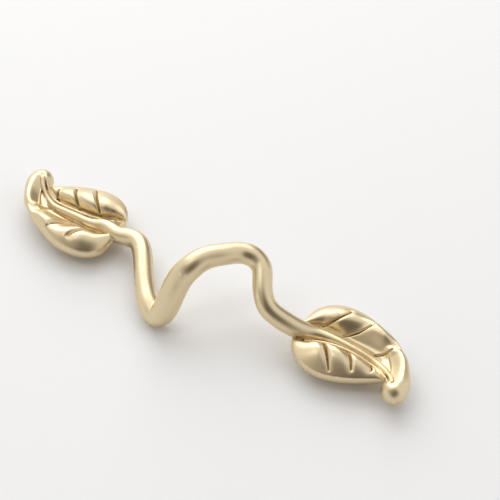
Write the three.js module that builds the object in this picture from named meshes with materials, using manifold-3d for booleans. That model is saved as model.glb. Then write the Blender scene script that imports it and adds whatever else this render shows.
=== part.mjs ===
// Cabinet pull cast as a twig that runs from one leaf to another, in millimetres.
// X runs along the pull, Z stands out from the drawer front, and the back pads lie on z = 0.
// The second leaf is the first one turned half way round the Z axis.
import * as THREE from 'three';
import { mergeVertices } from 'three/addons/utils/BufferGeometryUtils.js';
import Module from 'manifold-3d';

const wasm = await Module();
wasm.setup();

// Screws and back pads
const holeSpacing = 96;
const screwHoleDiameter = 3.3;
const screwHoleDepth = 5;
const padDiameter = 14;
const padEdge = 0.5;
const padFlare = 2.2;
const padOverlap = 2.1;

// Leaves
const leafLength = 39.5;
const leafWidth = 28.8;
const leafBaseToHole = 13.4;
const rimThickness = 4.2;
const rimHeight = 5.6;
const panelRise = 0.9;
const undersideHeight = 2.4;
const midribWidth = 3.0;
const midribLift = 0.2;
const channelWidth = 5.4;
const channelDepth = 2.5;
const grooveWidth = 2.3;
const grooveDepth = 1.5;

// Tip that curls off to one side
const curlThickness = 8;
const curlHollowWidth = 7.4;
const curlHollowDrop = 1.4;

// Twig between the leaves
const twigDiameter = 6.3;
const twigRise = 23;
const twigSway = 18.7;

// Fineness of the faces
const leafSteps = 48;
const leafRows = 18;
const leafEdgeRowsFrom = 0.36;
const leafEdgeRowsTo = 0.64;
const twigSides = 16;
const twigStep = 2.4;
const ribSides = 12;
const ribStep = 2.4;
const grooveSides = 8;
const grooveStep = 1.8;
const padSides = 28;
const holeSides = 16;
const cutOverrun = 1;

const holeX = holeSpacing / 2;
const leafStart = holeX - leafBaseToHole;
const rimRadius = rimThickness / 2;
const midribTopHeight = rimHeight + rimRadius + midribLift;

// Leaf outline at the middle of the rim, anticlockwise from the tip:
// share of the length from the base, share of the width from the axis, height over rimHeight
const rimOutline = [
  [0.89, -0.07, 2.4],
  [0.82, 0.09, 2.4],
  [0.70, 0.21, 1.9],
  [0.55, 0.315, 1.0],
  [0.36, 0.393, 0],
  [0.16, 0.36, -0.5],
  [0.05, 0.22, -1.0],
  [0.045, -0.05, 0.4],
  [0.05, -0.25, 0.8],
  [0.14, -0.385, 0.4],
  [0.29, -0.44, 0],
  [0.49, -0.375, 0.1],
  [0.66, -0.25, 0.3],
  [0.80, -0.13, 0.7],
];

// Where the leaf is fullest, as shares of length and width
const leafMiddle = [0.42, -0.03];

// Side grooves of a leaf: inner end, middle and outer end, as shares of length and width
const sideGrooves = [
  [[0.175, 0.07], [0.245, 0.229], [0.29, 0.37]],
  [[0.35, 0.10], [0.43, 0.198], [0.495, 0.325]],
  [[0.18, -0.10], [0.29, -0.247], [0.39, -0.415]],
  [[0.38, -0.08], [0.465, -0.167], [0.535, -0.30]],
  [[0.62, -0.09], [0.65, -0.15], [0.665, -0.195]],
];

// Radius of a side groove at its inner end, middle and outer end, as a share of grooveWidth
const grooveTaper = [0.62, 0.48, 0.14];

// Midrib from the twig to the curl: share of length, share of width, share of midribWidth,
// height of its top below midribTopHeight
const midribLine = [
  [0.02, -0.05, 1.6, -0.7],
  [0.16, -0.022, 1.15, 0],
  [0.36, -0.021, 1, 0],
  [0.54, -0.031, 0.85, 0.8],
  [0.66, -0.045, 0.7, 1.3],
  [0.77, -0.115, 0.6, 1.0],
  [0.84, -0.19, 0.5, 0.6],
];

// Curl from the rim to its bulb: share of length, share of width, height over rimHeight,
// share of curlThickness
const curlLine = [
  [0.77, 0.13, 2.2, 0.52],
  [0.87, 0, 2.3, 0.58],
  [0.905, -0.13, 1.4, 0.78],
  [0.895, -0.27, 0.3, 1],
];

// Hollow behind the curl: share of length, share of width, height of its floor over the lowest
// point, share of curlHollowWidth
const hollowLine = [
  [0.625, 0.055, 0.9, 0.3],
  [0.71, 0.085, 0.4, 0.75],
  [0.80, -0.03, 0, 1],
  [0.84, -0.14, 0.3, 0.8],
];

// Twig: share of half the hole spacing, share of the sway, share of the rise, share of the diameter
const twigFall = [
  [-0.79, 0.035, 0.262, 0.75],
  [-0.683, 0.055, 0.273, 0.89],
  [-0.604, 0.092, 0.286, 0.95],
  [-0.535, 0.04, 0.291, 1],
  [-0.475, -0.105, 0.282, 1],
  [-0.419, -0.302, 0.264, 1],
  [-0.358, -0.512, 0.242, 1.02],
  [-0.288, -0.732, 0.216, 1.05],
  [-0.21, -0.925, 0.19, 1.08],
  [-0.12, -1, 0.175, 1.14],
];
const twigClimb = [
  [-0.12, -1, 0.175, 1.14],
  [-0.09, -0.9, 0.33, 1.2],
  [-0.0625, -0.79, 0.573, 1.19],
  [-0.033, -0.632, 0.815, 1.17],
  [0.008, -0.47, 0.965, 1.16],
  [0.06, -0.215, 1, 1.08],
  [0.144, 0.035, 0.978, 1.02],
  [0.212, 0.22, 0.925, 1.03],
  [0.285, 0.29, 0.881, 1.02],
  [0.346, 0.253, 0.837, 1],
  [0.385, 0.17, 0.802, 0.98],
  [0.429, -0.021, 0.736, 0.97],
  [0.469, -0.153, 0.67, 0.97],
  [0.517, -0.247, 0.59, 0.98],
  [0.579, -0.263, 0.511, 0.98],
  [0.646, -0.237, 0.432, 1],
  [0.731, -0.184, 0.344, 0.95],
  [0.8, -0.087, 0.27, 0.75],
];

function onLeaf(lengthShare, widthShare, height) {
  return new THREE.Vector3(leafStart + lengthShare * leafLength, widthShare * leafWidth, height);
}

function toSolid(geometry) {
  geometry.deleteAttribute('normal');
  geometry.deleteAttribute('uv');
  const merged = mergeVertices(geometry, 1e-4);
  const mesh = new wasm.Mesh({
    numProp: 3,
    vertProperties: merged.attributes.position.array,
    triVerts: Uint32Array.from(merged.index.array),
  });
  return new wasm.Manifold(mesh);
}

function toGeometry(solid) {
  const mesh = solid.getMesh();
  const geometry = new THREE.BufferGeometry();
  geometry.setAttribute('position', new THREE.BufferAttribute(mesh.vertProperties, 3));
  geometry.setIndex(new THREE.BufferAttribute(mesh.triVerts, 1));
  return geometry;
}

// A round rod with rounded ends, bent along a smooth line through its stations
function bentRod(stations, sides, step) {
  const line = new THREE.CatmullRomCurve3(stations.map((station) => station.point), false, 'centripetal');
  const steps = Math.max(2, Math.ceil(line.getLength() / step));
  const frames = line.computeFrenetFrames(steps, false);
  const geometry = new THREE.CapsuleGeometry(1, steps, Math.max(2, Math.round(sides / 5)), sides, steps);
  const position = geometry.attributes.position;
  const last = stations.length - 1;
  for (let i = 0; i < position.count; i += 1) {
    const along = position.getY(i) + steps / 2;
    const ring = THREE.MathUtils.clamp(Math.round(along), 0, steps);
    const overhang = along - THREE.MathUtils.clamp(along, 0, steps);
    const share = line.getUtoTmapping(ring / steps) * last;
    const before = Math.min(Math.floor(share), last - 1);
    const from = stations[before].radius;
    const to = stations[before + 1].radius;
    const radius = THREE.MathUtils.lerp(from, to, share - before);
    const point = line.getPointAt(ring / steps);
    point.addScaledVector(frames.binormals[ring], position.getX(i) * radius);
    point.addScaledVector(frames.normals[ring], position.getZ(i) * radius);
    point.addScaledVector(frames.tangents[ring], overhang * radius);
    position.setXYZ(i, point.x, point.y, point.z);
  }
  return toSolid(geometry);
}

// The leaf's body: a puffed top, a round rim and a domed underside, shaped from a sphere's rows
function leafBody() {
  const rimLine = new THREE.CatmullRomCurve3(
    rimOutline.map(([along, across, lift]) => onLeaf(along, across, rimHeight + lift)),
    true,
    'centripetal',
  );
  const middle = onLeaf(leafMiddle[0], leafMiddle[1], 0);
  const geometry = new THREE.SphereGeometry(1, leafSteps, leafRows);
  const position = geometry.attributes.position;
  const uv = geometry.attributes.uv;
  for (let i = 0; i < position.count; i += 1) {
    const turn = (uv.getX(i) + 0.25) % 1;
    const row = 1 - uv.getY(i);
    const rim = rimLine.getPointAt(turn);
    const tangent = rimLine.getTangentAt(turn);
    const outward = new THREE.Vector3(tangent.y, -tangent.x, 0).normalize();
    const point = new THREE.Vector3();
    if (row <= leafEdgeRowsFrom) {
      const share = row / leafEdgeRowsFrom;
      const crest = rim.z + rimRadius;
      point.lerpVectors(middle, rim, share);
      point.z = THREE.MathUtils.lerp(midribTopHeight - panelRise, crest, share ** 4);
      point.z += panelRise * 4 * share * (1 - share);
    } else if (row < leafEdgeRowsTo) {
      const angle = Math.PI * (0.5 - (row - leafEdgeRowsFrom) / (leafEdgeRowsTo - leafEdgeRowsFrom));
      point.copy(rim).addScaledVector(outward, rimRadius * Math.cos(angle));
      point.z = rim.z + rimRadius * Math.sin(angle);
    } else {
      const share = (1 - row) / (1 - leafEdgeRowsTo);
      point.lerpVectors(middle, rim, share);
      point.z = THREE.MathUtils.lerp(undersideHeight, rim.z - rimRadius, share * share);
    }
    position.setXYZ(i, point.x, point.y, point.z);
  }
  return toSolid(geometry);
}

// The round pad that bears on the drawer front
function backPad() {
  const radius = padDiameter / 2;
  const height = undersideHeight + padOverlap;
  const profile = [
    new THREE.Vector2(0, 0),
    new THREE.Vector2(radius - padEdge, 0),
    new THREE.Vector2(radius, padEdge),
    new THREE.Vector2(radius + padFlare, height),
    new THREE.Vector2(0, height),
  ];
  const geometry = new THREE.LatheGeometry(profile, padSides);
  geometry.rotateX(Math.PI / 2);
  geometry.translate(holeX, 0, 0);
  return toSolid(geometry);
}

function screwHole() {
  const radius = screwHoleDiameter / 2;
  const geometry = new THREE.CylinderGeometry(radius, radius, screwHoleDepth + cutOverrun, holeSides);
  geometry.rotateX(Math.PI / 2);
  geometry.translate(holeX, 0, (screwHoleDepth - cutOverrun) / 2);
  return toSolid(geometry);
}

function curl() {
  return bentRod(curlLine.map(([along, across, lift, share]) => ({
    point: onLeaf(along, across, rimHeight + lift),
    radius: share * curlThickness / 2,
  })), twigSides, twigStep);
}

function curlHollow() {
  const floor = rimHeight + rimRadius - curlHollowDrop;
  return bentRod(hollowLine.map(([along, across, lift, share]) => {
    const radius = share * curlHollowWidth / 2;
    return { point: onLeaf(along, across, floor + lift + radius), radius };
  }), twigSides, twigStep);
}

// The trough that the midrib lies in
function channel() {
  return bentRod(midribLine.map(([along, across, share, drop]) => {
    const radius = share * channelWidth / 2;
    const floor = midribTopHeight - drop - channelDepth * share;
    return { point: onLeaf(along, across, floor + radius), radius };
  }), ribSides, ribStep);
}

function midrib() {
  return bentRod(midribLine.map(([along, across, share, drop]) => {
    const radius = share * midribWidth / 2;
    return { point: onLeaf(along, across, midribTopHeight - drop - radius), radius };
  }), ribSides, ribStep);
}

function sideGroove(line) {
  const height = midribTopHeight - grooveDepth + grooveWidth / 2;
  return bentRod(line.map(([along, across], index) => ({
    point: onLeaf(along, across, height),
    radius: grooveWidth * grooveTaper[index],
  })), grooveSides, grooveStep);
}

function leaf() {
  let solid = leafBody().add(curl()).subtract(curlHollow()).subtract(channel());
  for (const line of sideGrooves) {
    solid = solid.subtract(sideGroove(line));
  }
  return solid.add(midrib()).add(backPad()).subtract(screwHole());
}

function twigLimb(stations) {
  return bentRod(stations.map(([along, across, up, share]) => ({
    point: new THREE.Vector3(along * holeX, across * twigSway, up * twigRise),
    radius: share * twigDiameter / 2,
  })), twigSides, twigStep);
}

const rightLeaf = leaf();
const leftLeaf = toSolid(toGeometry(rightLeaf).rotateZ(Math.PI));
const whole = rightLeaf.add(leftLeaf).add(twigLimb(twigFall)).add(twigLimb(twigClimb));
const body = toGeometry(whole);

// The part stands centred on its own outline
body.computeBoundingBox();
const box = body.boundingBox;
body.translate(-(box.min.x + box.max.x) / 2, -(box.min.y + box.max.y) / 2, 0);

const brushedGold = new THREE.MeshStandardMaterial({ color: 0xd9c089, roughness: 0.32, metalness: 1 });
const pull = new THREE.Mesh(body, brushedGold);
pull.name = 'leaf_pull';

const part = new THREE.Group();
part.add(pull);

export default part;
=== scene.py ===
# Leaf shaped pull: one satin gold casting, a bent twig between two leaves with curled tips.
# Lengths are in millimetres with the two screw holes on the x axis; placed() carries them into the frame.
import bpy
import numpy as np
from mathutils import Matrix, Vector


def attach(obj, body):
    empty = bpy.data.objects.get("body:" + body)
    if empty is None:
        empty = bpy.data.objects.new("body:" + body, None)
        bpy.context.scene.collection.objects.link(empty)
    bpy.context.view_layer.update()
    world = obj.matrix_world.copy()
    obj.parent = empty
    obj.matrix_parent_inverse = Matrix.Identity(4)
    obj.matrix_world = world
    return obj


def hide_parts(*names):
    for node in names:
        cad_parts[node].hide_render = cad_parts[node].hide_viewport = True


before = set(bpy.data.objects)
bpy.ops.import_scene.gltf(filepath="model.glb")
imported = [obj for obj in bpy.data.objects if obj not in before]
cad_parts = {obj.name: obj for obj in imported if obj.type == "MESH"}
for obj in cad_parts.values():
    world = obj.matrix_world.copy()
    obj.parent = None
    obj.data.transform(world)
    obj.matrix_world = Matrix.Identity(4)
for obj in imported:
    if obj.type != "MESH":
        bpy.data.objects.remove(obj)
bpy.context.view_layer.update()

# the hole line lies midway across the flat backs of the two pads
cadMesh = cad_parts["leaf_pull"].data
cadPoints = np.empty(len(cadMesh.vertices) * 3)
cadMesh.vertices.foreach_get("co", cadPoints)
cadPoints = cadPoints.reshape(-1, 3) * 1000
padPoints = cadPoints[cadPoints[:, 2] < 0.01]
holeLineY = (padPoints[:, 1].min() + padPoints[:, 1].max()) / 2


def placed(points):
    # millimetres from the hole line to metres in the frame
    return (points + [0, holeLineY, 0]) * 0.001


# curves and surfaces that every piece is made with

def smoothLine(knots, count, closed=False):
    # natural cubic spline through the knots, by centripetal chord length, sampled evenly along its length
    perPoint = 12  # samples taken for each point kept
    knots = np.asarray(knots, float)
    if closed:
        knots = np.vstack([knots[-3:], knots, knots[:4]])
    step = np.linalg.norm(np.diff(knots[:, :3], axis=0), axis=1) ** 0.5
    place = np.concatenate([[0], np.cumsum(step)])
    n = len(knots)
    matrix = np.eye(n)
    right = np.zeros_like(knots)
    inner = np.arange(1, n - 1)
    matrix[inner, inner - 1] = step[:-1]
    matrix[inner, inner] = 2 * (step[:-1] + step[1:])
    matrix[inner, inner + 1] = step[1:]
    slope = np.diff(knots, axis=0) / step[:, None]
    right[1:-1] = 6 * np.diff(slope, axis=0)
    bend = np.linalg.solve(matrix, right)
    first, last = (place[3], place[-4]) if closed else (0, place[-1])
    dense = np.linspace(first, last, count * perPoint)
    i = np.clip(np.searchsorted(place, dense, side="right") - 1, 0, n - 2)
    h = step[i][:, None]
    a = (place[i + 1] - dense)[:, None]
    b = (dense - place[i])[:, None]
    value = (bend[i] * a**3 + bend[i + 1] * b**3) / (6 * h)
    value += (knots[i] / h - bend[i] * h / 6) * a + (knots[i + 1] / h - bend[i + 1] * h / 6) * b
    run = np.concatenate([[0], np.cumsum(np.linalg.norm(np.diff(value[:, :3], axis=0), axis=1))])
    even = np.linspace(0, run[-1], count, endpoint=not closed)
    return np.stack([np.interp(even, run, column) for column in value.T], 1)


def gridFaces(rows, columns):
    # quads of a grid that wraps round in its columns, closed at both ends by a fan on one pole vertex
    i, j = np.meshgrid(np.arange(rows - 1), np.arange(columns), indexing="ij")
    k = (j + 1) % columns
    here, above = i * columns, (i + 1) * columns
    quads = np.stack([here + j, here + k, above + k, above + j], -1).reshape(-1, 4)
    ring = np.arange(columns)
    after = (ring + 1) % columns
    lowPole, highPole = np.full(columns, rows * columns), np.full(columns, rows * columns + 1)
    last = (rows - 1) * columns
    fans = np.vstack([
        np.stack([lowPole, after, ring], 1),
        np.stack([highPole, last + ring, last + after], 1)])
    return quads.tolist() + fans.tolist()


def closedGrid(points, lowPole, highPole):
    # points is rows x columns x 3
    rows, columns = points.shape[:2]
    return np.vstack([points.reshape(-1, 3), lowPole, highPole]), gridFaces(rows, columns)


def sweptRod(knots, count, sides=40):
    # circle of the knots' own radius carried along the spline, with half-ball ends
    nearUp = (0.12, 0.16, 0.98)  # parallel to no part of the twig
    capRings = 8
    line = smoothLine(knots, count)
    centre, radius = line[:, :3], line[:, 3]
    tangent = np.gradient(centre, axis=0)
    tangent /= np.linalg.norm(tangent, axis=1)[:, None]
    across = np.cross(tangent, nearUp)
    across /= np.linalg.norm(across, axis=1)[:, None]
    over = np.cross(tangent, across)
    turn = np.linspace(0, 2 * np.pi, sides, endpoint=False)
    cap = np.linspace(0, np.pi / 2, capRings + 2)[1:-1]
    first = centre[0] - np.outer(np.cos(cap), tangent[0]) * radius[0]
    final = centre[-1] + np.outer(np.sin(cap), tangent[-1]) * radius[-1]
    allCentre = np.vstack([first, centre, final])
    allRadius = np.concatenate([radius[0] * np.sin(cap), radius, radius[-1] * np.cos(cap)])

    def alongAll(axes):
        # the rings of a cap keep the axes of the rod's own end
        both = np.vstack([np.repeat(axes[:1], capRings, 0), axes, np.repeat(axes[-1:], capRings, 0)])
        return both[:, None, :]

    ring = np.cos(turn)[None, :, None] * alongAll(across) + np.sin(turn)[None, :, None] * alongAll(over)
    points = allCentre[:, None, :] + allRadius[:, None, None] * ring
    return closedGrid(points, centre[0] - tangent[0] * radius[0], centre[-1] + tangent[-1] * radius[-1])


def nearest(points, line):
    # index of the nearest sample of a flat line for every point, and the distance to it
    best = np.full(len(points), 1e9)
    index = np.zeros(len(points), int)
    for k in range(len(line)):
        gap = (points[:, 0] - line[k, 0]) ** 2 + (points[:, 1] - line[k, 1]) ** 2
        closer = gap < best
        best[closer] = gap[closer]
        index[closer] = k
    return index, np.sqrt(best)


def softStep(low, high, x):
    # 3 t^2 - 2 t^3, where t runs from 0 at low to 1 at high
    t = np.clip((x - low) / (high - low), 0, 1)
    return t * t * (3 - 2 * t)


def blended(pair, share):
    low, high = pair
    return low + (high - low) * share


# the twig, which narrows into the midrib of each leaf
midrib = {
    "knots": [  # x, y, z, radius, from the twig to the curled tip
        (39.3, -1.6, 6.5, 2.4), (43.5, -0.65, 6.35, 1.8), (48.8, -0.35, 6.4, 1.35),
        (55.9, -0.55, 6.0, 1.1), (60.7, -1.2, 5.7, 0.95), (64.3, -2.9, 6.7, 0.75),
        (66.6, -4.9, 8.1, 0.6), (68.1, -6.9, 9.2, 0.5)],
    "sideKnots": [  # the thin line beside it: height and radius of its round top
        (37.4, -5.3, 5.9, 0.7), (40.4, -4.1, 6.2, 0.62), (44.0, -3.0, 6.5, 0.55),
        (49.0, -2.2, 6.75, 0.5), (56.0, -2.2, 6.35, 0.48), (60.7, -2.85, 6.0, 0.46),
        (63.7, -4.3, 6.8, 0.44), (65.9, -6.1, 8.1, 0.4), (67.4, -7.8, 9.1, 0.35)],
    "rootDrop": 1.2,  # a second rod this much lower fills under its flanks
}
twig = {
    "knots": [  # x, y, z, radius, from the left leaf to the right one
        (-35.0, 1.0, 6.15, 2.75), (-32.0, 1.35, 6.3, 2.9), (-29.0, 1.75, 6.5, 3.05),
        (-25.7, 0.8, 6.6, 3.15), (-22.8, -1.9, 6.4, 3.2), (-20.1, -5.5, 6.0, 3.2),
        (-17.2, -9.5, 5.5, 3.25), (-13.8, -13.6, 4.9, 3.35), (-10.1, -17.05, 4.4, 3.5),
        (-6.5, -18.62, 4.1, 3.6), (-4.7, -17.8, 5.8, 3.85), (-3.6, -15.8, 9.6, 4.0),
        (-2.7, -13.8, 14.0, 4.0), (-1.4, -11.2, 18.4, 3.95), (0.6, -8.6, 21.6, 3.8),
        (3.0, -4.2, 22.7, 3.6), (7.0, 0.4, 22.2, 3.4), (10.2, 3.9, 21.1, 3.35),
        (13.7, 5.3, 20.2, 3.3), (16.6, 4.7, 19.2, 3.2), (18.5, 3.1, 18.4, 3.15),
        (20.6, -0.4, 16.85, 3.1), (22.5, -2.9, 15.35, 3.1), (24.8, -4.6, 13.6, 3.15),
        (27.8, -4.9, 11.75, 3.15), (31.0, -4.4, 9.9, 3.2), (35.1, -3.3, 7.8, 3.0)],
    "rings": 900,
}
turnedMidrib = [(-x, -y, z, radius) for x, y, z, radius in reversed(midrib["knots"])]
twigMesh = sweptRod(turnedMidrib + twig["knots"] + midrib["knots"], count=twig["rings"])
rootKnots = [(x, y, z - midrib["rootDrop"], radius) for x, y, z, radius in midrib["knots"]]
ribRoot = sweptRod(rootKnots, count=200, sides=24)
print("twig", len(twigMesh[0]), "points")

# one leaf, at the right hand end; the other is the same one turned half way round
# the -y side and the +y side are those of its midrib, and the curl starts on the +y side
leafShape = {
    "edge": [  # middle of the rounded edge: x, y, z, radius
        (68.6, -2.3, 7.2, 2.5), (66.0, 1.8, 7.4, 2.5), (61.8, 5.4, 7.3, 2.5), (55.7, 7.9, 6.5, 2.9),
        (48.7, 9.7, 5.6, 3.2), (41.65, 8.95, 5.1, 3.2), (37.9, 5.66, 4.7, 3.0), (37.55, -1.4, 5.8, 3.0),
        (37.8, -6.56, 6.3, 3.0), (40.95, -9.7, 6.0, 3.2), (46.1, -11.05, 5.6, 3.2),
        (53.4, -9.25, 5.7, 3.2), (59.95, -6.15, 5.9, 2.9), (65.6, -3.6, 6.3, 2.5)],
    "edgeFrom": (60, 50),        # degrees from straight up where the edge's round begins, -y side and +y side
    "edgeBlend": (-6, -1),       # y between which the first of them gives way to the second
    "edgeTo": 150,               # degrees where the underside takes over
    "middle": (51.2, -0.9),
    "underHeight": 2.5,
    "lipHeight": 6.2,            # of the panels beside the midrib's trough
    "lipRaise": (0.5, 0.8),      # more than that at the leaf's base, and at its tip
    "lipToEdge": (0.5, 1.5),     # power with which the height goes from lip to edge, -y side and +y side
    "puff": (3.5, 3.3),          # rise of a panel between trough and edge, -y side and +y side
    "puffReach": (8.5, 1.15),    # width of a panel that rises so much, and the most that a wider one gets
    "gentle": (51, 3.5, 0.9),    # the middle panel of the +y side: x, reach and how much less it rises
    "lowLean": 0.5,              # -y side: under 1 the top of a pillow lies nearer to the midrib
    "highLean": ((45, 56), (0.7, 1.5)),  # the same on the +y side, at these two x
    "sideBlend": (-1, 1),        # y between which the -y side's values give way to the +y side's
    "puffEnd": (59, 65),         # x between which the pillows of the curl's side fade
    "puffEndSide": (-1, 1.5),    # y between which that comes on
    "puffFade": 0.8,
    "troughReach": (-0.6, 1.8),  # from the midrib's flank: where its floor ends, and where its lip is
    "troughDepth": 1.6,          # times the midrib's radius, taken as no less and no more than these two
    "troughScale": (0.6, 1),
    "troughStart": (34.5, 40.5),  # x between which it comes on
    "troughEnd": (59.5, 64.5),    # x between which it fades
    "troughFade": 0.8,
    "columns": 420,
    "rows": (120, 32, 24),       # of the top, of the round edge and of the underside
}
carving = {
    "grooves": [  # inner end, middle, outer end; share by which the panel before it sinks; reach of that
        ([(40.4, 2.6), (43.7, 5.6), (46.0, 9.7)], 0.12, 1.2),
        ([(47.6, 2.5), (51.1, 5.0), (53.8, 8.2)], 0.3, 2.2),
        ([(58.6, 0.9), (61.1, 2.3), (63.2, 4.0)], 0.5, 3.2),
        ([(41.6, -2.9), (46.0, -7.0), (50.0, -12.0)], 0.2, 1.5),
        ([(49.5, -2.6), (53.0, -5.0), (55.8, -8.9)], 0.2, 1.5),
        ([(58.8, -2.9), (60.4, -4.4), (60.9, -6.0)], 0.2, 1.5)],
    "after": (0.3, 0.8),         # the same share and reach for the panel after any groove
    "depth": (1.0, 1.7, 0.9),    # at the inner end, the middle and the outer end
    "width": (0.5, 0.7, 0.35),   # on the side towards the tip
    "wall": 0.22,                # the side towards the twig is a steep wall
    "clearOfRib": (0.5, 1.1),    # gaps from the midrib's flank where a groove is gone and where it is full
    "facing": (0.1, 0.5),        # upward part of the normal where carving is gone and where it is full
}


def bow(three, count):
    # quadratic curve that passes through its middle point
    a, m, b = (np.array(p, float) for p in three)
    control = 2 * m - (a + b) / 2
    t = np.linspace(0, 1, count)[:, None]
    return a * (1 - t) ** 2 + 2 * control * t * (1 - t) + b * t**2


def besideGroove(points, groove):
    # share of the way along the groove, and the distance from it, counted positive towards the leaf's tip
    samples = 60
    line = bow(groove, samples)
    index, gap = nearest(points, line)
    run = np.gradient(line, axis=0)[index]
    aside = points[:, :2] - line[index]
    turn = np.sign(run[:, 0] * aside[:, 1] - run[:, 1] * aside[:, 0]) * -np.sign(groove[2][1])
    return index / (samples - 1), gap * turn


def panelHeights(flat, rim, shape, rib):
    # lip + (rim - lip) * place ^ power + arch * 4 * lean * (1 - lean) - trough
    # place runs from 0 at the trough's lip to 1 at the rim, lean is place to a power of its own,
    # and arch is less by a bell curve beside each groove
    x, y = flat[:, 0], flat[:, 1]
    ribLine = smoothLine([*twig["knots"][-3:], *rib["knots"]], count=200)  # with the twig's last knots
    index, gap = nearest(flat, ribLine)
    gap = gap - ribLine[index, 3]
    near, far = shape["troughReach"]
    trough = softStep(*shape["troughStart"], x)
    atTip = softStep(*shape["troughEnd"], x)
    toLip = np.clip(gap - far * trough, 0, None)
    atBaseMore, atTipMore = shape["lipRaise"]
    lip = shape["lipHeight"] + atBaseMore * (1 - trough) + atTipMore * atTip
    rimIndex, toRim = nearest(flat, rim)
    place = toLip / (toLip + toRim + 1e-6)  # the last term only keeps it from dividing by zero
    upperSide = softStep(*shape["sideBlend"], y)

    gentleX, gentleReach, gentleBy = shape["gentle"]
    upperPuff = shape["puff"][1] - gentleBy * np.exp(-(((x - gentleX) / gentleReach) ** 2))
    puffWidth, puffMost = shape["puffReach"]
    arch = blended((shape["puff"][0], upperPuff), upperSide)
    arch *= np.clip((toLip + toRim) / puffWidth, 0, puffMost)
    arch *= 1 - shape["puffFade"] * softStep(*shape["puffEnd"], x) * softStep(*shape["puffEndSide"], y)
    for groove, dip, dipReach in carving["grooves"]:
        across = besideGroove(flat, groove)[1]
        afterDip, afterReach = carving["after"]
        before = across < 0
        reach = np.where(before, dipReach, afterReach)
        arch *= 1 - np.where(before, dip, afterDip) * np.exp(-((across / reach) ** 2))

    lean = place ** blended((shape["lowLean"], np.interp(x, *shape["highLean"])), upperSide)
    height = lip + (rim[rimIndex, 2] - lip) * place ** blended(shape["lipToEdge"], upperSide)
    height += arch * 4 * lean * (1 - lean)
    deep = shape["troughDepth"] * np.clip(ribLine[index, 3], *shape["troughScale"])
    return height - deep * (1 - softStep(near, far, gap)) * trough * (1 - shape["troughFade"] * atTip)


def leafBody(shape, rib):
    # a polar grid: the puffed top out to the edge, a round edge, the domed underside back to the middle
    # the round edge is edge + radius * (outward * sin(angle) + up * cos(angle)), and the underside is
    # underHeight + (low - underHeight) * share ^ 2, where share runs from 0 at the middle to 1
    line = smoothLine(shape["edge"], shape["columns"], closed=True)
    edge, radius = line[:, :3], line[:, 3:]
    tangent = np.roll(edge, -1, 0) - np.roll(edge, 1, 0)
    outward = np.stack([tangent[:, 1], -tangent[:, 0], 0 * tangent[:, 0]], 1)
    outward /= np.linalg.norm(outward, axis=1)[:, None]
    fromAngle = np.radians(blended(shape["edgeFrom"], softStep(*shape["edgeBlend"], edge[:, 1:2])))
    toAngle = np.radians(shape["edgeTo"])
    topRows, edgeRows, underRows = shape["rows"]
    middleX, middleY = shape["middle"]

    def onEdge(angle):
        return edge + radius * (outward * np.sin(angle) + np.array([0, 0, 1]) * np.cos(angle))

    def towardsMiddle(ring, share):
        # rows between the middle and a ring, still without their heights
        rows = np.empty((len(share), len(ring), 3))
        rows[..., 0] = middleX + (ring[:, 0] - middleX) * share[:, None]
        rows[..., 1] = middleY + (ring[:, 1] - middleY) * share[:, None]
        return rows

    rim = onEdge(fromAngle)
    top = towardsMiddle(rim, np.linspace(0, 1, topRows)[1:])
    top[..., 2] = panelHeights(top.reshape(-1, 3), rim, shape, rib).reshape(top.shape[:2])
    side = np.stack([onEdge(angle) for angle in np.linspace(fromAngle, toAngle, edgeRows)[1:]])
    low = onEdge(toAngle)
    share = np.linspace(1, 0, underRows)[1:-1]
    under = towardsMiddle(low, share)
    under[..., 2] = shape["underHeight"] + (low[:, 2] - shape["underHeight"]) * share[:, None] ** 2
    points = np.concatenate([top, side, under])
    topHeight = top[0, :, 2].mean()
    return closedGrid(points, [middleX, middleY, topHeight], [middleX, middleY, shape["underHeight"]])


leafMesh = leafBody(leafShape, midrib)
print("leaf", len(leafMesh[0]), "points")

# the curled tip with the hollow inside the curl, and the pad on the back
curl = {
    "knots": [  # x, y, z, radius, from the leaf's edge to the bulb
        (60.8, 5.2, 6.2, 1.9), (64.2, 3.9, 6.9, 2.2), (66.5, 1.8, 7.4, 2.6), (68.9, -2.1, 7.2, 2.85),
        (69.9, -5.3, 6.5, 3.6), (69.7, -7.7, 5.9, 4.0)],
    "rampKnots": [  # bottom of the hollow: x, y, z
        (61.6, 1.5, 6.5), (64.4, -1.3, 6.9), (66.5, -3.9, 7.8), (68.0, -6.0, 8.8), (68.8, -7.4, 9.6)],
    "rampSlope": 0.85,         # of the hollow's sides
    "rampRound": 0.8,          # how softly they meet at its bottom
    "rampReach": 5,
    "blend": 1.2,              # over which the hollow runs into what is round it
    "from": [(57.4, -0.8), (61.8, 2.2), (66.2, 5.4)],  # it starts beyond this line
    "fromBlend": (-0.4, 1.6),  # distances past the line where it is gone and where it is full
    "clearOfRib": (0.0, 0.4),
    "lowest": 5,               # no point under this height is moved
}
screwX = 48.0  # half the 96 mm from screw to screw
pad = {
    "radius": 7.0,
    "edge": 0.5, "round": 0.15,  # size of its broken edge, and of the facet next to the floor
    "flare": 2.2,                # how much wider it is where it meets the leaf
    "height": 4.6,
    "core": 0.5,                 # radius from which the rings start
    "sides": 96,
}


def backPad(shape, x):
    # a profile of radius and height turned round the screw axis
    turn = np.linspace(0, 2 * np.pi, shape["sides"], endpoint=False)
    core, full = shape["core"], shape["radius"]
    r = np.array([core, full - shape["edge"], full - shape["round"], full, full + shape["flare"], core])
    z = np.array([0, 0, shape["round"], shape["edge"], shape["height"], shape["height"]])
    points = np.stack([x + r[:, None] * np.cos(turn), r[:, None] * np.sin(turn), z[:, None] + 0 * turn], -1)
    return closedGrid(points, [x, 0, 0], [x, 0, shape["height"]])


def halfTurn(mesh):
    # x and y change sign, and the faces keep their order
    points, faces = mesh
    return points * [-1, -1, 1], faces


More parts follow.
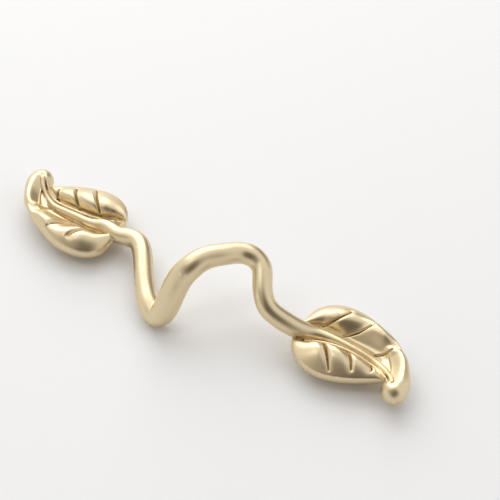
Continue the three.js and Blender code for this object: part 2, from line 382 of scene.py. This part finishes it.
oneEnd = [leafMesh, ribRoot, sweptRod(curl["knots"], count=60, sides=48), backPad(pad, screwX)]

# the casting: all forms run together into one skin, as molten metal does
casting = {
    "voxel": 0.21,          # grid on which the forms run together
    "smoothRounds": 7,
    "pull": (0.6, -0.62),   # share of the way to its neighbours' mean that a point moves, and moves back
    "leafFrom": 38,         # x beyond which the leaves are carved
    "seat": 0.002,          # height of the pads' faces
    "triangles": 180000,    # about as many as the finished skin has
}


def joined(meshes):
    # one list of points and one of faces, each mesh counting on from the one before
    points, faces, count = [], [], 0
    for meshPoints, meshFaces in meshes:
        points.append(meshPoints)
        faces += [[corner + count for corner in face] for face in meshFaces]
        count += len(meshPoints)
    return np.vstack(points), faces


def meshObject(name, points, faces):
    mesh = bpy.data.meshes.new(name)
    mesh.from_pydata(points.tolist(), [], faces)
    thing = bpy.data.objects.new(name, mesh)
    bpy.context.scene.collection.objects.link(thing)
    return thing


def discard(thing):
    mesh = thing.data
    bpy.data.objects.remove(thing)
    bpy.data.meshes.remove(mesh)


def fused(meshes, voxel):
    # Remesh in voxel mode keeps the outer skin of all the closed shapes
    thing = meshObject("casting_forms", *joined(meshes))
    remesh = thing.modifiers.new("skin", "REMESH")
    remesh.mode = "VOXEL"
    remesh.voxel_size = voxel
    skin = thing.evaluated_get(bpy.context.evaluated_depsgraph_get()).to_mesh()
    co = np.empty(len(skin.vertices) * 3)
    skin.vertices.foreach_get("co", co)
    corners = np.empty(len(skin.loops), int)
    skin.loops.foreach_get("vertex_index", corners)
    discard(thing)
    return co.reshape(-1, 3), corners.reshape(-1, 4)


def summed(corners, weights, count):
    # corners names a point for each row of weights; the rows are added up at their points
    return np.stack([np.bincount(corners, weights=column, minlength=count) for column in weights.T], 1)


def smoothed(points, quads, rounds):
    # each point moves towards the mean of its neighbours, then back a little more, so nothing shrinks
    pairs = np.vstack([quads[:, [0, 1]], quads[:, [1, 2]], quads[:, [2, 3]], quads[:, [3, 0]]])
    number = np.bincount(pairs[:, 0], minlength=len(points))[:, None]
    for pull in casting["pull"] * rounds:
        mean = summed(pairs[:, 0], points[pairs[:, 1]], len(points)) / number
        points = points + (mean - points) * pull
    return points


def normals(points, quads):
    # cross product of each quad's diagonals, added up at its four corners
    a, b, c, d = (points[quads[:, k]] for k in range(4))
    total = summed(quads.ravel(), np.repeat(np.cross(c - a, d - b), 4, axis=0), len(points))
    return total / np.linalg.norm(total, axis=1)[:, None]


def grooved(points, shape, ribGap, facing):
    # V cuts: depth * (1 - distance / width), with one width towards the tip and one towards the twig
    depth = np.zeros(len(points))
    stops = [0, 0.5, 1]
    for groove, _, _ in shape["grooves"]:
        along, across = besideGroove(points, groove)
        width = np.interp(along, stops, shape["width"])
        slope = np.where(across > 0, across / width, -across / shape["wall"])
        depth = np.maximum(depth, np.interp(along, stops, shape["depth"]) * np.clip(1 - slope, 0, 1))
    return points[:, 2] - depth * softStep(*shape["clearOfRib"], ribGap) * facing


def hollowed(points, z, tip, ribGap, facing):
    # smooth minimum of the height and of a ramp that rises by its slope on both sides of its bottom line
    dish = smoothLine(tip["rampKnots"], count=90)
    index, gap = nearest(points, dish)
    soft, blend = tip["rampRound"], tip["blend"]
    low = dish[index, 2] + tip["rampSlope"] * (np.sqrt(gap**2 + soft**2) - soft)
    mix = np.clip(0.5 + 0.5 * (low - z) / blend, 0, 1)
    sunk = low * (1 - mix) + z * mix - blend * mix * (1 - mix)
    beyond = softStep(*tip["fromBlend"], besideGroove(points, tip["from"])[1])
    share = facing * softStep(*tip["clearOfRib"], ribGap) * beyond
    inReach = (gap < tip["rampReach"]) & (points[:, 2] > tip["lowest"])
    return np.where(inReach, z + (np.minimum(sunk, z) - z) * share, z)


def carved(points, up, shape, tip, rib):
    # heights after the grooves, the hollow of the curl and the thin line beside the midrib
    facing = softStep(*shape["facing"], up)
    ribLine = smoothLine(rib["knots"], count=120)
    index, gap = nearest(points, ribLine)
    ribGap = gap - ribLine[index, 3]
    z = grooved(points, shape, ribGap, facing)
    z = hollowed(points, z, tip, ribGap, facing)
    thin = smoothLine(rib["sideKnots"], count=120)
    index, gap = nearest(points, thin)
    top = thin[index, 2] + np.sqrt(np.clip(thin[index, 3] ** 2 - gap**2, 0, None))
    return np.where(gap < thin[index, 3], np.maximum(z, z + (top - z) * facing), z)


skinPoints, skinQuads = fused([twigMesh] + oneEnd + [halfTurn(mesh) for mesh in oneEnd], casting["voxel"])
print("skin", len(skinPoints), "points", len(skinQuads), "quads", skinPoints.min(0), skinPoints.max(0))
skinPoints = smoothed(skinPoints, skinQuads, casting["smoothRounds"])
up = normals(skinPoints, skinQuads)[:, 2]
for side in (1, -1):
    onLeaf = skinPoints[:, 0] * side > casting["leafFrom"]
    leafPoints = skinPoints[onLeaf] * [side, side, 1]
    skinPoints[onLeaf, 2] = carved(leafPoints, up[onLeaf], carving, curl, midrib)
    print("carved", onLeaf.sum(), "points of a leaf")
skinPoints = smoothed(skinPoints, skinQuads, 1)
skinPoints[:, 2] = np.clip(skinPoints[:, 2], casting["seat"], None)

# blind screw holes with an M4 thread
screwHole = {
    "core": 1.62, "major": 2.0, "pitch": 0.7,
    "depth": 5.0, "cone": 0.6,     # of the whole hole, and of the drill point at its end
    "runOut": (0.1, 0.9),          # from the drill point, where the thread is gone and where it is full
    "mouth": 2.3,                  # radius of the countersink at the pad's face
    "below": 0.1,                  # how far past the face it goes on widening
    "slack": 0.01,                 # allowed when its points are picked out of the skin
    "sharpFrom": 35,               # degrees between two faces that make a sharp edge
    "columns": 48, "rowsPerTurn": 8,
}


def threadCutter(shape, x):
    # radius = core + (major - core) * w, where w is a triangle wave of z / pitch - turn / 2 pi
    turn = np.linspace(0, 2 * np.pi, shape["columns"], endpoint=False)
    threadEnd = shape["depth"] - shape["cone"]
    gone, full = shape["runOut"]
    z = np.arange(-shape["pitch"], threadEnd, shape["pitch"] / shape["rowsPerTurn"])[:, None]
    wave = np.abs(2 * ((z / shape["pitch"] - turn / (2 * np.pi)) % 1) - 1)
    wave = wave * softStep(threadEnd - gone, threadEnd - full, z)
    radius = shape["core"] + (shape["major"] - shape["core"]) * wave
    radius = np.maximum(radius, shape["mouth"] - np.clip(z, -shape["below"], None))
    points = np.stack([x + radius * np.cos(turn), radius * np.sin(turn), z + 0 * turn], -1)
    return closedGrid(points, [x, 0, z[0, 0]], [x, 0, shape["depth"]])


def drilled(points, faces, cutters):
    # the skin with its flat stretches thinned, less the cutters
    body = meshObject("undrilled", points, faces)
    tools = [meshObject("cutter", *cutter) for cutter in cutters]
    thin = body.modifiers.new("thin", "DECIMATE")
    thin.ratio = min(1, casting["triangles"] / (2 * len(faces)))
    for tool in tools:
        hole = body.modifiers.new("hole", "BOOLEAN")
        hole.operation = "DIFFERENCE"
        hole.solver = "MANIFOLD"
        hole.object = tool
    result = bpy.data.meshes.new_from_object(body.evaluated_get(bpy.context.evaluated_depsgraph_get()))
    for thing in [body] + tools:
        discard(thing)
    return result


cutters = [threadCutter(screwHole, side * screwX) for side in (1, -1)]
pullMesh = drilled(skinPoints, skinQuads.tolist(), cutters)
pullMesh.name = "pull_casting"
co = np.empty(len(pullMesh.vertices) * 3)
pullMesh.vertices.foreach_get("co", co)
co = co.reshape(-1, 3)
fromAxis = np.hypot(np.abs(co[:, 0]) - screwX, co[:, 1])
inReach = fromAxis < screwHole["mouth"] + screwHole["below"]
bored = inReach & (co[:, 2] < screwHole["depth"] + screwHole["slack"])
pullMesh.vertices.foreach_set("co", placed(co).ravel())
print("drilled", len(pullMesh.polygons), "faces", bored.sum(), "points in the holes")

# only the threads keep sharp edges
pullMesh.set_sharp_from_angle(angle=np.radians(screwHole["sharpFrom"]))
edgeEnds = np.empty(len(pullMesh.edges) * 2, int)
pullMesh.edges.foreach_get("vertices", edgeEnds)
sharp = np.empty(len(pullMesh.edges), bool)
pullMesh.attributes["sharp_edge"].data.foreach_get("value", sharp)
sharp &= bored[edgeEnds.reshape(-1, 2)].all(1)
pullMesh.attributes["sharp_edge"].data.foreach_set("value", sharp)
pullMesh.update()
pullCasting = bpy.data.objects.new("pull_casting", pullMesh)
bpy.context.scene.collection.objects.link(pullCasting)
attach(pullCasting, "root")
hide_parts("leaf_pull")

# finishes: satin gold outside, brighter cut metal in the threads, both with painted shade in recesses
blastedMetal = {
    "waveHeight": 4,           # of the casting's faint waves, against a grain of 1
    "pitSize": (0.05, 0.16),   # distances from a pit's middle where it is full and where it is gone
    "pitPlaces": (0.6, 0.7),   # values of a slow noise between which pits come on, so that they are rare
    "blotch": (0.3, 0.7),      # values of the waves that are smoothest and roughest
}
finishes = {
    "satin_gold": {
        "colour": (0.755, 0.625, 0.405),
        # the recess colour is painted shade for the hollows; the worn colour is paler edge wear
        "paintedShadeColour": (0.38, 0.29, 0.17), "wornColour": (0.86, 0.74, 0.54),
        "roughness": (0.33, 0.39), "wornPolish": 0.05, "recess": (0.44, 0.49), "worn": (0.53, 0.60),
        "grainScale": 3200, "waveScale": 90, "pitScale": 420, "bump": 0.35, "bumpDepth": 0.00004},
    "cut_thread": {
        "colour": (0.74, 0.60, 0.36),
        # the recess colour is painted shade for the hollows of the thread
        "paintedShadeColour": (0.40, 0.30, 0.16), "wornColour": (0.82, 0.70, 0.46),
        "roughness": (0.24, 0.34), "wornPolish": 0.04, "recess": (0.40, 0.48), "worn": (0.53, 0.62),
        "grainScale": 5200, "waveScale": 300, "pitScale": 900, "bump": 0.3, "bumpDepth": 0.00002},
}


def addNode(tree, kind, **settings):
    # a setting is a property of the node or, failing that, the value of an input
    node = tree.nodes.new(kind)
    for key, value in settings.items():
        if hasattr(node, key):
            setattr(node, key, value)
        else:
            node.inputs[key.replace("_", " ")].default_value = value
    return node


def ranged(tree, value, span, ends):
    # Map Range with a soft step, from the two values of span to the two of ends
    node = addNode(tree, "ShaderNodeMapRange", interpolation_type="SMOOTHSTEP")
    for key, number in zip(("From Min", "From Max", "To Min", "To Max"), (*span, *ends)):
        node.inputs[key].default_value = number
    tree.links.new(value, node.inputs["Value"])
    return node.outputs["Result"]


def mathNode(tree, operation, *values):
    # a value is a number or the socket that gives it
    node = addNode(tree, "ShaderNodeMath", operation=operation)
    for socket, value in zip(node.inputs, values):
        if isinstance(value, (int, float)):
            socket.default_value = value
        else:
            tree.links.new(value, socket)
    return node.outputs[0]


def newGroup(name, inputs, outputs):
    # inputs come with their usual values, and a place in space with None
    group = bpy.data.node_groups.new(name, "ShaderNodeTree")
    for key, value in inputs.items():
        kind = "NodeSocketVector" if value is None else "NodeSocketFloat"
        socket = group.interface.new_socket(name=key, in_out="INPUT", socket_type=kind)
        if value is not None:
            socket.default_value = value
    for key in outputs:
        group.interface.new_socket(name=key, in_out="OUTPUT", socket_type="NodeSocketFloat")
    return group, group.nodes.new("NodeGroupInput"), group.nodes.new("NodeGroupOutput")


def metalSurface(look):
    # group: grain of blasted and plated metal, faint waves of the casting, and rare pits
    inputs = {"Position": None, "Grain Scale": 3200, "Wave Scale": 90, "Pit Scale": 420}
    group, start, end = newGroup("metal_surface", inputs, ("Height", "Blotch"))
    grain = addNode(group, "ShaderNodeTexNoise", Detail=2, Roughness=0.6)
    waves = addNode(group, "ShaderNodeTexNoise", Detail=3, Roughness=0.5)
    pits = addNode(group, "ShaderNodeTexVoronoi")
    spread = addNode(group, "ShaderNodeTexNoise", Detail=0)
    scales = ((grain, "Grain Scale"), (waves, "Wave Scale"), (pits, "Pit Scale"), (spread, "Wave Scale"))
    for node, scale in scales:
        group.links.new(start.outputs["Position"], node.inputs["Vector"])
        group.links.new(start.outputs[scale], node.inputs["Scale"])
    hole = ranged(group, pits.outputs["Distance"], look["pitSize"], (1, 0))
    rare = ranged(group, spread.outputs["Fac"], look["pitPlaces"], (0, 1))
    pit = mathNode(group, "MULTIPLY", hole, rare)
    rolling = mathNode(group, "MULTIPLY_ADD", waves.outputs["Fac"], look["waveHeight"], grain.outputs["Fac"])
    group.links.new(mathNode(group, "SUBTRACT", rolling, pit), end.inputs["Height"])
    group.links.new(waves.outputs["Fac"], end.inputs["Blotch"])
    return group


def paintedShadeAndWear():
    # group: from how sharply a spot stands out, masks of painted shade in hollows and of polishing wheel wear
    inputs = {
        "Pointiness": 0.5,
        "Recess Full": 0.44, "Recess Gone": 0.49,
        "Worn From": 0.53, "Worn Full": 0.60}
    group, start, end = newGroup("painted_shade_and_wear", inputs, ("Painted Shade", "Worn"))
    masks = (("Painted Shade", "Recess Full", "Recess Gone", (1, 0)), ("Worn", "Worn From", "Worn Full", (0, 1)))
    for mask, low, high, ends in masks:
        node = addNode(group, "ShaderNodeMapRange", interpolation_type="SMOOTHSTEP")
        node.inputs["To Min"].default_value, node.inputs["To Max"].default_value = ends
        group.links.new(start.outputs["Pointiness"], node.inputs["Value"])
        group.links.new(start.outputs[low], node.inputs["From Min"])
        group.links.new(start.outputs[high], node.inputs["From Max"])
        group.links.new(node.outputs["Result"], end.inputs[mask])
    return group


def groupNode(tree, group, values):
    node = tree.nodes.new("ShaderNodeGroup")
    node.node_tree = group
    for key, value in values.items():
        node.inputs[key].default_value = value
    return node


def metal(name, finish, surfaceGroup, shadeAndWearGroup):
    material = bpy.data.materials.new(name)
    material.use_nodes = True
    tree = material.node_tree
    shader = tree.nodes["Principled BSDF"]
    shader.inputs["Metallic"].default_value = 1
    place = tree.nodes.new("ShaderNodeTexCoord")
    surface = groupNode(tree, surfaceGroup, {
        "Grain Scale": finish["grainScale"],
        "Wave Scale": finish["waveScale"],
        "Pit Scale": finish["pitScale"]})
    tree.links.new(place.outputs["Object"], surface.inputs["Position"])
    # pointiness span over which the painted shade comes on in the recesses
    recessFull, recessGone = finish["recess"]
    wornFrom, wornFull = finish["worn"]
    shadeAndWear = groupNode(tree, shadeAndWearGroup, {
        "Recess Full": recessFull, "Recess Gone": recessGone,
        "Worn From": wornFrom, "Worn Full": wornFull})
    shape = tree.nodes.new("ShaderNodeNewGeometry")
    tree.links.new(shape.outputs["Pointiness"], shadeAndWear.inputs["Pointiness"])

    # plating colour, with painted shade darkening the recesses, and paler on the worn edges
    paintedShadeMix = addNode(tree, "ShaderNodeMix", data_type="RGBA")
    paintedShadeMix.inputs["A"].default_value = (*finish["colour"], 1)
    paintedShadeMix.inputs["B"].default_value = (*finish["paintedShadeColour"], 1)
    tree.links.new(shadeAndWear.outputs["Painted Shade"], paintedShadeMix.inputs["Factor"])
    bright = addNode(tree, "ShaderNodeMix", data_type="RGBA")
    bright.inputs["B"].default_value = (*finish["wornColour"], 1)
    tree.links.new(shadeAndWear.outputs["Worn"], bright.inputs["Factor"])
    tree.links.new(paintedShadeMix.outputs["Result"], bright.inputs["A"])
    tree.links.new(bright.outputs["Result"], shader.inputs["Base Color"])

    # blotches of roughness, smoother where it is worn
    rough = ranged(tree, surface.outputs["Blotch"], blastedMetal["blotch"], finish["roughness"])
    smoother = mathNode(tree, "MULTIPLY_ADD", shadeAndWear.outputs["Worn"], -finish["wornPolish"], rough)
    tree.links.new(smoother, shader.inputs["Roughness"])
    bump = addNode(tree, "ShaderNodeBump", Strength=finish["bump"], Distance=finish["bumpDepth"])
    tree.links.new(surface.outputs["Height"], bump.inputs["Height"])
    tree.links.new(bump.outputs["Normal"], shader.inputs["Normal"])
    return material


surfaceGroup, shadeAndWearGroup = metalSurface(blastedMetal), paintedShadeAndWear()
pullMesh.materials.clear()
for name, finish in finishes.items():
    pullMesh.materials.append(metal(name, finish, surfaceGroup, shadeAndWearGroup))
faceStart = np.empty(len(pullMesh.polygons), int)
pullMesh.polygons.foreach_get("loop_start", faceStart)
cornerPoint = np.empty(len(pullMesh.loops), int)
pullMesh.loops.foreach_get("vertex_index", cornerPoint)
inHole = np.logical_and.reduceat(bored[cornerPoint], faceStart)
pullMesh.polygons.foreach_set("material_index", inHole.astype(int))
pullMesh.polygons.foreach_set("use_smooth", np.ones(len(faceStart), bool))
print("finishes on", len(faceStart), "faces,", inHole.sum(), "in the holes")

# the floor of the studio
studioFloor = {"size": 6, "colour": (0.9, 0.9, 0.9), "roughness": 0.7}
bpy.ops.mesh.primitive_plane_add(size=studioFloor["size"])
floor = bpy.context.object
floor.name = "studio_floor"
pale = bpy.data.materials.new("pale_floor")
pale.use_nodes = True
paint = pale.node_tree.nodes["Principled BSDF"]
paint.inputs["Base Color"].default_value = (*studioFloor["colour"], 1)
paint.inputs["Roughness"].default_value = studioFloor["roughness"]
floor.data.materials.append(pale)

# the camera, above and before the pull and a little to its right
shot = {
    "lens": 93.6,
    "sensor": 36,
    "spot": (142.5, -212.7, 324.9),  # then the directions of its own right, up and forward
    "right": (0.8595, 0.5111, 0.0),
    "up": (-0.3916, 0.6584, 0.6428),
    "forward": (-0.3286, 0.5525, -0.7660),
}
view = bpy.data.cameras.new("camera")
view.lens = shot["lens"]
view.sensor_width = shot["sensor"]
camera = bpy.data.objects.new("camera", view)
bpy.context.scene.collection.objects.link(camera)
spot = placed(np.array(shot["spot"]))
axes = zip(shot["right"], shot["up"], shot["forward"], spot)
rows = [[right, up, -forward, at] for right, up, forward, at in axes]
camera.matrix_world = Matrix(rows + [[0, 0, 0, 1]])
bpy.context.scene.camera = camera
rightOfView = np.array(shot["right"])
towardsView = np.array([rightOfView[1], -rightOfView[0], 0.0])  # level, from the pull to the camera


def direction(turn, rise):
    # turn in degrees round from the camera side towards its right, rise in degrees over the floor
    turn, rise = np.radians(turn), np.radians(rise)
    return np.cos(rise) * (np.cos(turn) * towardsView + np.sin(turn) * rightOfView) + [0, 0, np.sin(rise)]


# lamps, and walls that are pale but for the places where the room is dim
studio = {
    "lamps": {  # turn, rise, distance and size in metres, watts
        "back_softbox": (-170, 38, 1.1, (1.25, 1.0), 6.8),
        "left_strip": (-84, 64, 0.9, (0.14, 0.5), 0.42),
    },
    "walls": (0.92, 0.92, 0.925),
    "dimPlaces": [  # colour, turn, rise, and the angles from its middle where it is gone and is full
        ((0.10, 0.08, 0.06), -4, 42, 47, 22),
        ((0.42, 0.38, 0.32), -60, 46, 30, 10),
        ((0.20, 0.17, 0.14), 142, 10, 34, 16),
    ],
}
for name, (turn, rise, distance, size, watts) in studio["lamps"].items():
    lamp = bpy.data.lights.new(name, "AREA")
    lamp.shape = "RECTANGLE"
    lamp.size, lamp.size_y = size
    lamp.energy = watts
    holder = bpy.data.objects.new(name, lamp)
    bpy.context.scene.collection.objects.link(holder)
    place = Vector(direction(turn, rise) * distance)
    holder.location = place
    holder.rotation_euler = place.to_track_quat("Z", "Y").to_euler()

world = bpy.data.worlds.new("studio")
bpy.context.scene.world = world
world.use_nodes = True
air = world.node_tree
sky = air.nodes.new("ShaderNodeTexCoord")
shade = addNode(air, "ShaderNodeRGB").outputs[0]
shade.default_value = (*studio["walls"], 1)
for colour, turn, rise, gone, full in studio["dimPlaces"]:
    aim = addNode(air, "ShaderNodeVectorMath", operation="DOT_PRODUCT")
    aim.inputs[1].default_value = direction(turn, rise)
    fade = ranged(air, aim.outputs["Value"], np.cos(np.radians((gone, full))), (0, 1))
    mix = addNode(air, "ShaderNodeMix", data_type="RGBA")
    mix.inputs["B"].default_value = (*colour, 1)
    air.links.new(sky.outputs["Generated"], aim.inputs[0])
    air.links.new(fade, mix.inputs["Factor"])
    air.links.new(shade, mix.inputs["A"])
    shade = mix.outputs["Result"]
air.links.new(shade, air.nodes["Background"].inputs["Color"])
bpy.context.scene.view_settings.view_transform = "Standard"
print("studio", len(studio["lamps"]), "lamps")
